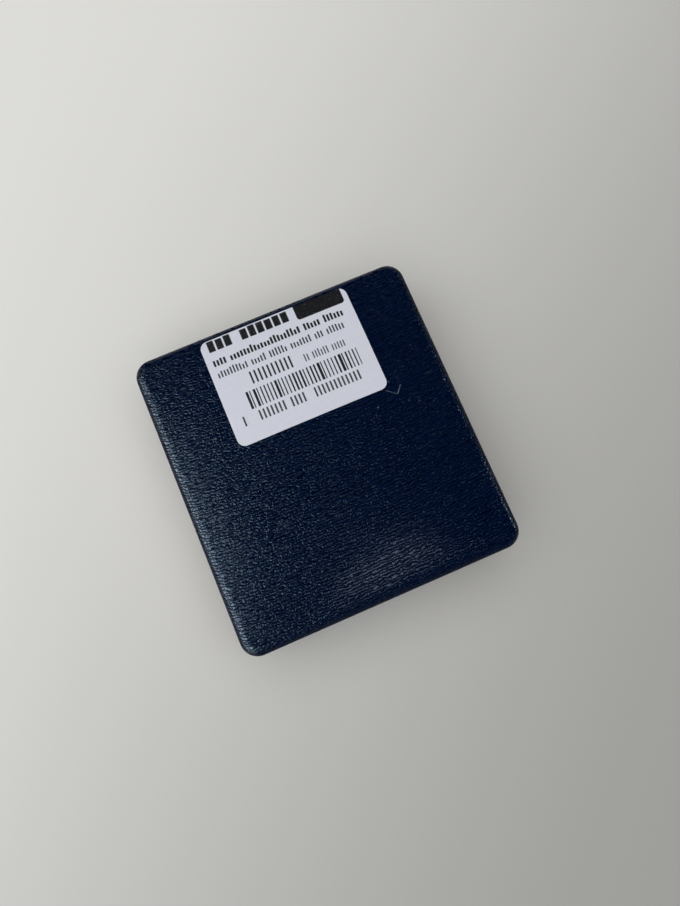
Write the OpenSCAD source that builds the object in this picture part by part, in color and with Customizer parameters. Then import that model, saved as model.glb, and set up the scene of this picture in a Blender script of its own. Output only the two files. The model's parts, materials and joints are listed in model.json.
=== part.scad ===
// Coin display case: a leatherette-covered case with a pillow-crowned lid on a snap hinge.
// The base holds a velvet platform with a round recess, the lid a padded satin cushion.
// Origin: middle of the footprint, on the table. +Z up, the hinge is at the back (+Y).
// Both halves are drawn with their height running away from the parting plane.

/* [Case] */
// Outside width, along the hinge
case_w = 65; // [62:0.5:80]
// Outside depth, from the front to the hinge side
case_d = 69.5; // [64:0.5:85]
// Plan radius of the four upright corners
corner_r = 4; // [4:0.1:6]
// Height of the base, from the table to the parting plane
base_h = 10.4; // [10.2:0.1:14]
// Height of the lid's edge above the parting plane, without its crown
lid_h = 8.8; // [8.6:0.1:12]
// Rise of the lid's pillow-shaped top at its middle
lid_crown = 1.6; // [0.6:0.1:2.4]
// How flat the crown's middle is: 2 is a plain arch, more keeps the bend near the edges
crown_power = 2.4; // [2:0.1:4]
// Rounding between the lid's walls and its top
lid_edge_r = 2.2; // [1.8:0.1:2.8]
// Rounding between the base's walls and its underside
base_edge_r = 1.6; // [1.5:0.1:2.4]

/* [Walls] */
// Thickness of the leatherette
leather_t = 0.5; // [0.4:0.05:0.6]
// Thickness of the moulded half shells
shell_t = 0.9; // [0.8:0.05:1]
// Depth to which the leatherette is turned in over the shells' edges
turn_in = 2.5; // [1.6:0.1:2.6]

/* [Gilt rims] */
// Height of the metal edge strip
rim_t = 0.6; // [0.5:0.05:0.8]
// How far the strip stands in from the leatherette
rim_inset = 0.12; // [0.05:0.01:0.3]
// Thickness of the strip's inner skirt
skirt_t = 0.3; // [0.2:0.05:0.35]
// Depth of the inner skirt
skirt_h = 1.5; // [1:0.1:1.6]
// Gap between the two strips of the closed case
rim_gap = 0.15; // [0.1:0.05:0.3]

/* [Hinge] */
// How far the lid opens, in degrees
open_angle = 95; // [85:1:100]
// Length of the barrel
hinge_len = 25; // [20:1:30]
// Number of knuckles, shared between the two leaves
knuckles = 5; // [3:2:7]
// Radius of the barrel
barrel_r = 0.9; // [0.85:0.05:1]
// Radius of the pin
pin_r = 0.45; // [0.4:0.05:0.5]
// Radial play of the pin in the lid's knuckles
pin_play = 0.05; // [0.03:0.01:0.08]
// Thickness of the leaves
leaf_t = 0.4; // [0.35:0.05:0.4]
// Height of each leaf above or below the axis
leaf_h = 6; // [5.4:0.1:6.4]
// Width of the spring plate
spring_w = 7; // [5:0.5:10]
// Thickness of the spring plate
spring_t = 0.25; // [0.2:0.05:0.3]
// Rise of the spring plate's arch
spring_rise = 0.5; // [0.3:0.05:0.6]

/* [Coin insert] */
// Radius of the recess, for capsules up to 40 mm across
recess_r = 20.2; // [17:0.1:21]
// Place of the recess's middle, in front of the case's middle
recess_y = -1.5; // [-3:0.1:0]
// Depth of the recess
recess_depth = 6.5; // [5:0.1:6.5]
// Radius of the two thumb notches
thumb_r = 6.5; // [5:0.1:7]
// Thickness of the velvet
velvet_t = 0.4; // [0.3:0.05:0.5]
// Thickness of the platform's board
board_t = 1.5; // [1.2:0.1:1.8]
// Depth of the platform's top under the parting plane
insert_drop = 1.6; // [1.4:0.1:1.8]
// Thickness of the card strip round the recess
collar_t = 0.8; // [0.6:0.1:1]

/* [Lid pad] */
// Thickness of the satin
satin_t = 0.3; // [0.2:0.05:0.4]
// Thickness of the pad's back board
pad_board_t = 1.2; // [1:0.1:1.4]
// Height of the pad's edge, board and foam together
pad_h = 3.7; // [3.4:0.1:3.8]
// Rounding of the pad's edge
pad_edge_r = 2; // [1.6:0.1:2.2]
// Rise of the pad's padded face
pad_crown = 1.6; // [1:0.1:1.8]

/* [Label] */
// Width of the sticker
label_w = 35.1; // [20:0.1:40]
// Depth of the sticker
label_d = 25.5; // [15:0.1:30]
// How far the sticker's middle lies to the right of the case's middle
label_x = 1; // [-5:0.1:5]
// Distance of the sticker from the lid's back edge
label_back = 1.7; // [0.8:0.1:20]
// Corner radius of the sticker
label_corner_r = 1.8; // [1:0.1:3]
// Thickness of the sticker
label_t = 0.12; // [0.08:0.01:0.2]

/* [Hidden] */
$fn = 96;

// Steps of the lofts: segments of a plan corner and of a rounded edge, rings of a crown,
// and points added to each straight side where a surface is crowned
corner_steps = 6;
edge_steps = 5;
crown_rings = [0.2, 0.42, 0.62, 0.78, 0.9, 1];
crowned_side = 5;
plain_side = 0;

half_w = case_w / 2;
half_d = case_d / 2;
wall_t = leather_t + shell_t;
fold_in = wall_t + leather_t;
lip_h = rim_gap / 2 + rim_t;
shell_edge_h = lip_h + leather_t;

// The hinge: the leaves lie on the shells' inner faces and curl outwards round the pin
curl_in = 0.05;
plate_y = half_d - wall_t - leaf_t;
hinge_y = plate_y + barrel_r - curl_in;
knuckle_pitch = hinge_len / knuckles;
knuckle_gap = 0.1;
neck_h = barrel_r + 0.15;
window_w = hinge_len + 0.8;
window_h = barrel_r + 0.2;
rivet_x = 9;
rivet_h = 3.6;
rivet_r = 0.6;
rivet_head_r = 1.1;
rivet_head_h = 0.35;
hook_h = 4.3;
hook_t = 0.4;
hook_out = 0.4;
hook_w = 5;
hinge_room_w = hinge_len + 1.8;
hinge_room_y = plate_y - 1.9;

// The groove along the back, in which the two halves swing past each other
groove_play = 0.1;
groove_y = hinge_y - groove_play;
groove_slope = tan(open_angle / 2);

// The insert: a wrapped board on a frame and on the recess's collar
insert_in = fold_in + skirt_t + 0.1;
insert_top_z = base_h - insert_drop;
board_z = insert_top_z - velvet_t - board_t;
floor_z = wall_t;
lining_z = insert_top_z - recess_depth - velvet_t;
support_in = 1.8;
support_t = 2;

// The lid pad
pad_back_h = 6.3;

// ---------------------------------------------------------------- plan outlines

// Exact rounded rectangle, the case's outline moved in by inset
module plan(inset) {
    x = half_w - corner_r;
    y = half_d - corner_r;
    r = corner_r - inset;
    square([2 * x, 2 * (y + r)], center = true);
    square([2 * (x + r), 2 * y], center = true);
    for (sx = [-1, 1], sy = [-1, 1]) translate([sx * x, sy * y]) circle(r = r);
}

// The recess and its thumb notches, made larger by grow
module recess_plan(grow) {
    translate([0, recess_y]) {
        circle(r = recess_r + grow);
        for (side = [-1, 1]) translate([side * (recess_r + 0.5), 0]) circle(r = thumb_r + grow);
    }
}

// Room for the hinge in the back edge of the insert and the pad, made larger by grow
module hinge_room(grow) {
    translate([-hinge_room_w / 2 - grow, hinge_room_y - grow]) square([hinge_room_w + 2 * grow, 10]);
}

module insert_plan(grow) {
    difference() {
        plan(insert_in - grow);
        hinge_room(-grow);
        recess_plan(-grow);
    }
}

// ---------------------------------------------------------------- lofts

function corner_arc(q, r) = [
    for (i = [0:corner_steps])
        let (a = 90 * (q + i / corner_steps))
        [
            (q == 0 || q == 3 ? 1 : -1) * (half_w - corner_r) + r * cos(a),
            (q < 2 ? 1 : -1) * (half_d - corner_r) + r * sin(a)
        ]
];

// Points of the outline moved in by inset, anticlockwise, with extra points on each side
function outline(inset, side) =
    let (arcs = [for (q = [0:3]) corner_arc(q, corner_r - inset)])
    [
        for (q = [0:3])
            let (from = arcs[q][corner_steps], to = arcs[(q + 1) % 4][0])
            each concat(arcs[q], [for (j = [1:1:side]) from + (to - from) * j / (side + 1)])
    ];

function level_ring(inset, h, side) = [for (p = outline(inset, side)) [p.x, p.y, h]];

// A ring of an opening's edge, which drops away along the groove at the back
function edge_ring(inset, h, side) = [
    for (p = outline(inset, side)) [p.x, p.y, h + groove_slope * max(0, p.y - groove_y)]
];

function bump(p, inset) =
    (1 - pow(abs(p.x) / (half_w - inset), crown_power))
    * (1 - pow(abs(p.y) / (half_d - inset), crown_power));

// Slope of a crown where it meets the rounded edge
function lean(crown) = atan(crown * crown_power / half_w);

function top_h(edge_r, edge_h, crown, skin) =
    edge_h - edge_r + (edge_r - skin) * cos(lean(crown)) + crown;

// Rings of a crowned top and its rounded edge, from the middle outwards. The wall stands in
// by inset, and the surface lies skin under the outermost one
function dome(inset, edge_r, edge_h, crown, skin, side) =
    let (
        r = edge_r - skin,
        end = 90 - lean(crown),
        brim = inset + edge_r - r * cos(end),
        brim_h = edge_h - edge_r + r * sin(end),
        flat = outline(brim, side)
    )
    concat(
        [
            for (s = crown > 0 ? crown_rings : [1])
                [for (p = flat) [p.x * s, p.y * s, brim_h + crown * bump(p * s, brim)]]
        ],
        [
            for (i = [1:edge_steps])
                let (a = end * (1 - i / edge_steps))
                level_ring(inset + edge_r - r * cos(a), edge_h - edge_r + r * sin(a), side)
        ]
    );

function reversed(list) = [for (i = [len(list) - 1:-1:0]) list[i]];

// Triangles between ring i and ring k of n points each, after the first point. Where the rings
// run back inwards the other diagonal is used, so that both faces of a sheet, and the piece
// that lies on it, have the same triangles
function band(i, k, n, back) = [
    for (j = [0:n - 1])
        let (a = 1 + i * n + j, b = 1 + i * n + (j + 1) % n)
        let (c = 1 + k * n + (j + 1) % n, d = 1 + k * n + j)
        each back ? [[a, b, d], [b, c, d]] : [[a, b, c], [a, c, d]]
];

// Closed solid through the rings, with a tip at each end. From ring number turn on, the rings
// run back inwards
module loft(rings, start_h, end_h, turn) {
    n = len(rings[0]);
    last = len(rings) - 1;
    tip = 1 + len(rings) * n;
    polyhedron(
        points = concat([[0, 0, start_h]], [for (ring = rings) each ring], [[0, 0, end_h]]),
        faces = concat(
            [for (j = [0:n - 1]) [0, 1 + (j + 1) % n, 1 + j]],
            [for (i = [0:last - 1]) each band(i, i + 1, n, i >= turn)],
            [for (j = [0:n - 1]) [tip, 1 + last * n + j, 1 + last * n + (j + 1) % n]]
        )
    );
}

// Closed strip that runs round the case: its section's corners are the rings
module strip(rings) {
    n = len(rings[0]);
    polyhedron(
        points = concat([[0, 0, 0]], [for (ring = rings) each ring]),
        faces = [for (i = [0:len(rings) - 1]) each band(i, (i + 1) % len(rings), n, false)]
    );
}

// ---------------------------------------------------------------- the two halves

module in_lid() {
    translate([0, 0, base_h]) children();
}

module in_base() {
    translate([0, 0, base_h]) mirror([0, 0, 1]) children();
}

// Window in an edge for the hinge's barrel, from the parting plane up
module hinge_window(height) {
    translate([-window_w / 2, hinge_room_y, -1]) cube([window_w, 10, height + 1]);
}

// Leatherette of a half: outer face, lip, turned-in edge and the face that lies on the shell
module half_cover(edge_r, edge_h, crown, side) {
    kink = half_d - groove_y;
    edge = [
        edge_ring(0, lip_h, side), edge_ring(kink, lip_h, side), edge_ring(fold_in, lip_h, side),
        level_ring(fold_in, lip_h + turn_in, side), level_ring(wall_t, lip_h + turn_in, side),
        edge_ring(wall_t, shell_edge_h, side), edge_ring(kink, shell_edge_h, side),
        edge_ring(leather_t, shell_edge_h, side)
    ];
    outer = dome(0, edge_r, edge_h, crown, 0, side);
    inner = dome(0, edge_r, edge_h, crown, leather_t, side);
    difference() {
        loft(
            concat(outer, edge, reversed(inner)),
            top_h(edge_r, edge_h, crown, 0), top_h(edge_r, edge_h, crown, leather_t),
            len(outer) + len(edge) - 1
        );
        hinge_window(window_h);
        // The turned-in edge leaves room for the leaf
        translate([-window_w / 2, hinge_room_y, 0])
            cube([window_w, half_d - wall_t - hinge_room_y, edge_h / 2]);
    }
}

// Moulded shell of a half, with its window and rivet holes
module half_shell(edge_r, edge_h, crown, side) {
    kink = half_d - groove_y;
    edge = [
        edge_ring(leather_t, shell_edge_h, side), edge_ring(kink, shell_edge_h, side),
        edge_ring(wall_t, shell_edge_h, side)
    ];
    outer = dome(0, edge_r, edge_h, crown, leather_t, side);
    inner = dome(0, edge_r, edge_h, crown, wall_t, side);
    difference() {
        loft(
            concat(outer, edge, reversed(inner)),
            top_h(edge_r, edge_h, crown, leather_t), top_h(edge_r, edge_h, crown, wall_t),
            len(outer) + len(edge) - 1
        );
        hinge_window(window_h);
        rivet_shanks(half_d);
    }
}

// Edge strip of a half: a band over the lip and a skirt inside it
module half_rim() {
    kink = half_d - groove_y;
    face_h = rim_gap / 2;
    side = plain_side;
    difference() {
        strip([
            edge_ring(rim_inset, lip_h, side), edge_ring(kink, lip_h, side),
            edge_ring(fold_in, lip_h, side), level_ring(fold_in, lip_h + skirt_h, side),
            level_ring(fold_in + skirt_t, lip_h + skirt_h, side),
            edge_ring(fold_in + skirt_t, face_h, side), edge_ring(kink, face_h, side),
            edge_ring(rim_inset, face_h, side)
        ]);
        hinge_window(base_h / 2);
    }
}

module lid_cover() {
    color([0.02, 0.07, 0.18]) in_lid() half_cover(lid_edge_r, lid_h, lid_crown, crowned_side);
}

module lid_shell() {
    color([0.12, 0.12, 0.13]) in_lid() half_shell(lid_edge_r, lid_h, lid_crown, crowned_side);
}

module lid_rim() {
    color([0.83, 0.67, 0.33]) in_lid() half_rim();
}

module base_cover() {
    color([0.02, 0.07, 0.18]) in_base() half_cover(base_edge_r, base_h, 0, plain_side);
}

module base_shell() {
    color([0.12, 0.12, 0.13]) in_base() half_shell(base_edge_r, base_h, 0, plain_side);
}

module base_rim() {
    color([0.83, 0.67, 0.33]) in_base() half_rim();
}

// ---------------------------------------------------------------- coin insert

// Card frame round the base's floor, open behind the hinge
module insert_support() {
    color([0.55, 0.53, 0.5]) translate([0, 0, floor_z]) linear_extrude(board_z - floor_z)
        difference() {
            plan(support_in);
            plan(support_in + support_t);
            hinge_room(1);
        }
}

module insert_board() {
    color([0.55, 0.53, 0.5]) translate([0, 0, board_z]) linear_extrude(board_t)
        insert_plan(-velvet_t);
}

// Velvet over the board's top, its outer edge and the edge of the recess
module insert_velvet() {
    color([0.07, 0.12, 0.42]) difference() {
        translate([0, 0, board_z]) linear_extrude(board_t + velvet_t) insert_plan(0);
        translate([0, 0, board_z - 1]) linear_extrude(board_t + 1) insert_plan(-velvet_t);
    }
}

module recess_wall() {
    bottom = lining_z + velvet_t;
    color([0.07, 0.12, 0.42]) translate([0, 0, bottom]) linear_extrude(board_z - bottom)
        difference() {
            recess_plan(collar_t);
            recess_plan(0);
        }
}

module recess_floor() {
    color([0.55, 0.53, 0.5]) translate([0, 0, floor_z]) linear_extrude(lining_z - floor_z)
        recess_plan(collar_t);
}

module recess_lining() {
    color([0.07, 0.12, 0.42]) translate([0, 0, lining_z]) linear_extrude(velvet_t)
        recess_plan(collar_t);
}

// ---------------------------------------------------------------- lid pad

// Solid of the pad's front: its wall runs from the pad's back plane towards the opening.
// skin is how deep the surface lies under the satin, foot where its wall starts
module pad_body(skin, foot) {
    rings = dome(wall_t, pad_edge_r, pad_h, pad_crown, skin, crowned_side);
    wall = [level_ring(wall_t + skin, foot, crowned_side)];
    translate([0, 0, pad_back_h]) mirror([0, 0, 1]) difference() {
        loft(concat(rings, wall), top_h(pad_edge_r, pad_h, pad_crown, skin), foot, len(rings) + 1);
        translate([0, 0, -1]) linear_extrude(pad_h + pad_crown + 2) hinge_room(skin);
    }
}

module lid_pad_board() {
    color([0.55, 0.53, 0.5]) in_lid() translate([0, 0, pad_back_h - pad_board_t])
        linear_extrude(pad_board_t) difference() {
            plan(wall_t + satin_t);
            hinge_room(satin_t);
        }
}

module lid_pad_foam() {
    color([0.9, 0.88, 0.8]) in_lid() pad_body(satin_t, pad_board_t);
}

module lid_pad_satin() {
    color([0.93, 0.92, 0.88]) in_lid() difference() {
        pad_body(0, 0);
        pad_body(satin_t, -1);
    }
}

// ---------------------------------------------------------------- label

module lid_skin(skin) {
    rings = dome(0, lid_edge_r, lid_h, lid_crown, skin, crowned_side);
    foot = [level_ring(skin, lid_h / 2, crowned_side)];
    loft(concat(rings, foot), top_h(lid_edge_r, lid_h, lid_crown, skin), lid_h / 2, len(rings) + 1);
}

// Sticker that follows the crown and the rounded back edge
module label() {
    y = half_d - label_back - label_d / 2;
    x = label_w / 2 - label_corner_r;
    d = label_d / 2 - label_corner_r;
    color([0.93, 0.94, 0.97]) in_lid() intersection() {
        difference() {
            lid_skin(-label_t);
            lid_skin(0);
        }
        translate([label_x, y, lid_h / 2]) linear_extrude(lid_h) {
            square([label_w, 2 * d], center = true);
            square([2 * x, label_d], center = true);
            for (sx = [-1, 1], sy = [-1, 1]) translate([sx * x, sy * d]) circle(label_corner_r);
        }
    }
}

// ---------------------------------------------------------------- snap hinge

// Extrudes a (y, h) section along the hinge, centred on the case's middle
module along_hinge(length) {
    translate([-length / 2, 0, 0]) rotate([90, 0, 90]) linear_extrude(length) children();
}

module rivet_shanks(back_y) {
    for (side = [-1, 1])
        translate([side * rivet_x, back_y, rivet_h]) rotate([90, 0, 0])
            cylinder(r = rivet_r, h = back_y - plate_y + 0.5);
}

// A leaf with its own knuckles, its hook for the spring plate and its rivet holes
module leaf(own, bore_r) {
    difference() {
        union() {
            translate([-hinge_len / 2, plate_y, neck_h])
                cube([hinge_len, leaf_t, leaf_h - neck_h]);
            for (k = own) translate([-hinge_len / 2 + k * knuckle_pitch + knuckle_gap / 2, 0, 0]) {
                length = knuckle_pitch - knuckle_gap;
                translate([0, hinge_y, 0]) rotate([0, 90, 0]) cylinder(r = barrel_r, h = length);
                translate([0, plate_y, 0]) cube([length, leaf_t, neck_h + 0.1]);
            }
            translate([-hook_w / 2, plate_y - hook_out, hook_h])
                cube([hook_w, hook_out + leaf_t / 2, hook_t]);
        }
        translate([-hinge_len, hinge_y, 0]) rotate([0, 90, 0])
            cylinder(r = bore_r, h = 2 * hinge_len);
        rivet_shanks(half_d);
    }
}

module rivets() {
    for (side = [-1, 1]) translate([side * rivet_x, 0, rivet_h]) rotate([90, 0, 0]) {
        translate([0, 0, leather_t - half_d])
            cylinder(r = rivet_r, h = half_d - leather_t - plate_y);
        translate([0, 0, -plate_y]) cylinder(r1 = rivet_head_r, r2 = rivet_r, h = rivet_head_h);
    }
}

module hinge_base_leaf() {
    color([0.8, 0.68, 0.4]) in_base() leaf([0:2:knuckles - 1], pin_r);
}

module hinge_lid_leaf() {
    color([0.8, 0.68, 0.4]) in_lid() leaf([1:2:knuckles - 1], pin_r + pin_play);
}

module hinge_base_rivets() {
    color([0.7, 0.7, 0.72]) in_base() rivets();
}

module hinge_lid_rivets() {
    color([0.7, 0.7, 0.72]) in_lid() rivets();
}

module hinge_pin() {
    color([0.7, 0.7, 0.72]) in_lid() translate([-hinge_len / 2, hinge_y, 0]) rotate([0, 90, 0])
        cylinder(r = pin_r, h = hinge_len);
}

// Arched plate that bridges the barrel and grips the far side of both hooks
module hinge_spring() {
    grip_h = hook_h + hook_t;
    foot_y = plate_y - hook_out;
    arch_r = (pow(grip_h, 2) + pow(spring_rise, 2)) / (2 * spring_rise);
    color([0.75, 0.75, 0.78]) in_lid() along_hinge(spring_w) {
        intersection() {
            translate([foot_y - spring_rise + arch_r, 0]) difference() {
                circle(r = arch_r + spring_t, $fn = 360);
                circle(r = arch_r, $fn = 360);
            }
            translate([foot_y - 3, -grip_h - spring_t]) square([3.4, 2 * (grip_h + spring_t)]);
        }
        for (side = [-1, 1])
            translate([foot_y - spring_t, side * (grip_h + spring_t / 2)])
                translate([0, -spring_t / 2]) square([spring_t + hook_out - 0.1, spring_t]);
    }
}

base_cover();
base_shell();
base_rim();
insert_support();
insert_board();
insert_velvet();
recess_wall();
recess_floor();
recess_lining();
hinge_base_leaf();
hinge_pin();
hinge_spring();
hinge_base_rivets();
lid_cover();
lid_shell();
lid_rim();
lid_pad_board();
lid_pad_foam();
lid_pad_satin();
label();
hinge_lid_leaf();
hinge_lid_rivets();
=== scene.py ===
"""Coin display case: the covers, lining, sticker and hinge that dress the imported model.

Laid out as an add-on and run as a script. Lengths are in metres in the model's own frame:
+Z up, the hinge at the back (+Y), and the front, where the lid opens, at -Y.
"""

import json
import math

import bmesh
import bpy
from mathutils import Matrix, Vector, noise


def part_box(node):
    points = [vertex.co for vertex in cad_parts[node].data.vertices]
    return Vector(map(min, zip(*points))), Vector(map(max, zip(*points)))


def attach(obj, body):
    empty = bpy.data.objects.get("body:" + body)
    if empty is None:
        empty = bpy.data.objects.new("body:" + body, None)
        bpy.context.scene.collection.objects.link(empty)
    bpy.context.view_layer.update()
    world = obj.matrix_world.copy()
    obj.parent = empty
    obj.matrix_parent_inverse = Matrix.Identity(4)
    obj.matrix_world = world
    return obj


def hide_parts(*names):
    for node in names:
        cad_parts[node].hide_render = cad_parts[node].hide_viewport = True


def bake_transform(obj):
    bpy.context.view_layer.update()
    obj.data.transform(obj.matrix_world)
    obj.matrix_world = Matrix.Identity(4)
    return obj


bl_info = {
    "name": "Coin display case",
    "version": (1, 0, 0),
    "blender": (4, 5, 0),
    "location": "3D View > Sidebar > Coin Case",
    "description": "Dresses a hinged coin case: leatherette, gilt rims, velvet, satin and sticker",
    "category": "Object",
}

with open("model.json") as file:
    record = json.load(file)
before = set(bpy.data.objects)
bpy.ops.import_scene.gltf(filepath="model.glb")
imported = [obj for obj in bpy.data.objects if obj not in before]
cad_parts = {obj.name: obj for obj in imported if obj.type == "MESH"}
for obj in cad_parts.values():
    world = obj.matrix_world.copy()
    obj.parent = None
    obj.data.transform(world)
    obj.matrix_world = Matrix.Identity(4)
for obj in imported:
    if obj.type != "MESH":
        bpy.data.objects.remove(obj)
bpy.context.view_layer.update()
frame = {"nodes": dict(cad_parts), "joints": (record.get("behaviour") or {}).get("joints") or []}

MM = 0.001
HINGE = frame["joints"][0]
HINGE_Y, PARTING = HINGE["pos_m"][1], HINGE["pos_m"][2]
LID_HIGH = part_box("lid_cover")[1]
HALF_W, HALF_D = LID_HIGH.x, LID_HIGH.y
BASE_H = PARTING
LABEL_LOW, LABEL_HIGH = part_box("label")
PAD_LOW, PAD_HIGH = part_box("lid_pad_satin")
LEAF_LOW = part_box("hinge_base_leaf")[0]


# ---------------------------------------------------------------- settings


def length(name, about, value):
    """A length in metres."""
    kind = {"min": 0.0, "precision": 5, "subtype": "DISTANCE", "unit": "LENGTH"}
    return bpy.props.FloatProperty(name=name, description=about, default=value, **kind)


def share(name, about, value, high=1.0):
    """A number without a unit."""
    return bpy.props.FloatProperty(name=name, description=about, default=value, min=0.0, max=high)


def colour(name, about, value):
    """A linear colour."""
    return bpy.props.FloatVectorProperty(
        name=name, description=about, default=value, size=3, min=0.0, max=1.0, subtype="COLOR"
    )


class CoverSizes(bpy.types.PropertyGroup):
    """Sizes of the two leatherette covers and their gilt rims"""

    corner_r: length("Corner radius", "Plan radius of the upright corners", 4.0 * MM)
    lid_edge_r: length("Lid edge", "Rounding between the lid's walls and its top", 2.2 * MM)
    base_edge_r: length("Base edge", "Rounding round the underside", 1.6 * MM)
    crown: length("Crown", "Rise of the pillow-shaped lid at its middle", 1.79 * MM)
    crown_power: bpy.props.FloatProperty(
        name="Crown power", description="How flat the crown's middle is", default=2.4, min=2.0, max=4.0
    )
    leather_t: length("Leatherette", "Thickness of the leatherette", 0.42 * MM)
    lip_h: length("Lip", "Distance of each leatherette edge from the parting plane", 0.675 * MM)
    fold_in: length("Fold", "How far the edge is folded in", 1.9 * MM)
    turn_in: length("Turn-in", "Height of the part that is turned in", 2.5 * MM)
    groove_y: length("Groove", "Where the groove for the swinging halves starts", 33.7 * MM)
    groove_slope: share(
        "Groove slope", "Rise of the groove to the back", math.tan(math.radians(47.5)), 2.0
    )
    window_w: length("Hinge window", "Width of the window for the hinge", 25.8 * MM)
    rim_inset: length("Rim inset", "How far the metal strip stands in", 0.12 * MM)
    rim_t: length("Rim height", "Height of the metal strip", 0.6 * MM)
    rim_gap: length("Rim gap", "Gap between the strips of the closed case", 0.15 * MM)
    skirt_t: length("Skirt", "Thickness of the strip's skirt", 0.3 * MM)
    skirt_h: length("Skirt depth", "Depth of the strip's skirt", 1.5 * MM)


class LiningSizes(bpy.types.PropertyGroup):
    """Sizes of the velvet insert and the satin pad"""

    velvet_edge: length("Velvet edge", "Rounding of the velvet over the board's edges", 0.75 * MM)
    pad_crown: length("Pad crown", "Rise of the padded face", 1.6 * MM)
    pad_edge: length("Pad edge", "Width of the rounded border of the pad", 6.5 * MM)
    pleat_pitch: length("Pleat pitch", "Spacing of the small pleats along the pad's border", 3.1 * MM)
    pleat_h: length("Pleat height", "Height of the small pleats", 0.5 * MM)
    room_w: length("Hinge room", "Width of the room that the pad leaves for the hinge", 26.8 * MM)
    room_y: length("Hinge room edge", "Where the room for the hinge starts", 31.05 * MM)


class LabelSizes(bpy.types.PropertyGroup):
    """Sizes of the sticker"""

    corner_r: length("Corner radius", "Radius of the sticker's corners", 1.8 * MM)
    paper_t: length("Paper", "Thickness of the sticker", 0.12 * MM)
    curl_w: length("Curl width", "Size of the part of each front corner that comes up", 3.2 * MM)
    curl_h: length("Curl height", "How far the front corners come up", 0.10 * MM)


class HingeSizes(bpy.types.PropertyGroup):
    """Sizes of the snap hinge"""

    barrel_r: length("Barrel", "Radius of the rolled knuckles", 0.9 * MM)
    pin_r: length("Pin", "Radius of the pin", 0.45 * MM)
    sheet_t: length("Sheet", "Thickness of the brass leaves", 0.4 * MM)
    barrel_w: length("Barrel length", "Length of the barrel", 25 * MM)
    knuckles: bpy.props.IntProperty(
        name="Knuckles", description="Number of knuckles", default=5, min=3, max=9
    )
    knuckle_gap: length("Knuckle gap", "Gap between two knuckles", 0.1 * MM)
    leaf_near: length("Leaf start", "Distance of the leaves' plates from the parting plane", 1.05 * MM)
    leaf_far: length("Leaf end", "Distance of the leaves' far edges from the parting plane", 6.0 * MM)
    rivet_x: length("Rivet place", "Distance of each rivet from the middle", 9 * MM)
    rivet_h: length("Rivet height", "Distance of the rivets from the parting plane", 3.6 * MM)
    rivet_r: length("Rivet", "Radius of the rivets' shanks", 0.6 * MM)
    head_r: length("Rivet head", "Radius of the rivets' heads", 1.1 * MM)
    head_h: length("Rivet head height", "Height of the rivets' heads", 0.35 * MM)
    spring_w: length("Spring width", "Width of the arched spring plate", 7 * MM)
    spring_t: length("Spring plate", "Thickness of the spring plate", 0.25 * MM)
    spring_rise: length("Spring rise", "Rise of the spring plate's arch", 0.5 * MM)
    grip_h: length("Spring grip", "Half the distance between the spring plate's ends", 4.7 * MM)
    hook_out: length("Hook", "How far the hooks stand out of the leaves", 0.4 * MM)
    hook_w: length("Hook width", "Width of the hooks", 5 * MM)


class Finishes(bpy.types.PropertyGroup):
    """Colours of the case"""

    # painted shade: the creases' colour is about a third of the ridges' colour, as shade in the creases
    leather: colour("Leatherette", "Colour of the leatherette's creases", (0.0001, 0.0020, 0.0110))
    ridge: colour("Leatherette ridges", "Colour of the grain's ridges", (0.0003, 0.0064, 0.0330))
    worn: colour("Worn leatherette", "Colour of the rubbed edges", (0.022, 0.032, 0.058))
    mark: colour("Marks", "Colour of the scratches and specks on the lid", (0.16, 0.19, 0.25))
    velvet: colour("Velvet", "Colour of the velvet", (0.012, 0.024, 0.13))
    satin: colour("Satin", "Colour of the satin", (0.80, 0.78, 0.72))
    gilt: colour("Gilt", "Colour of the gilt rims", (0.83, 0.62, 0.27))
    brass: colour("Hinge brass", "Colour of the hinge leaves", (0.72, 0.54, 0.24))
    steel: colour("Steel", "Colour of pin and rivets", (0.58, 0.58, 0.59))
    card: colour("Card", "Colour of the card pieces", (0.42, 0.39, 0.35))
    shell: colour("Shell", "Colour of the moulded shells", (0.03, 0.03, 0.034))
    paper: colour("Sticker", "Colour of the sticker's paper", (0.74, 0.77, 0.87))
    ink: colour("Ink", "Colour of the sticker's print", (0.004, 0.004, 0.006))
    # the floor's colour at the back left; painted shade darkens it towards the front right
    floor: colour("Floor", "Colour of the floor", (0.94, 0.94, 0.91))


class CaseSettings(bpy.types.PropertyGroup):
    """All settings of the coin case"""

    covers: bpy.props.PointerProperty(type=CoverSizes)
    lining: bpy.props.PointerProperty(type=LiningSizes)
    label: bpy.props.PointerProperty(type=LabelSizes)
    hinge: bpy.props.PointerProperty(type=HingeSizes)
    finish: bpy.props.PointerProperty(type=Finishes)


# ---------------------------------------------------------------- shader maths


def adds_maths(operation):
    """A method that adds one Math node for a wire and what it is combined with."""
    return lambda wire, *others: wire.maths(operation, wire, *others)


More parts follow.
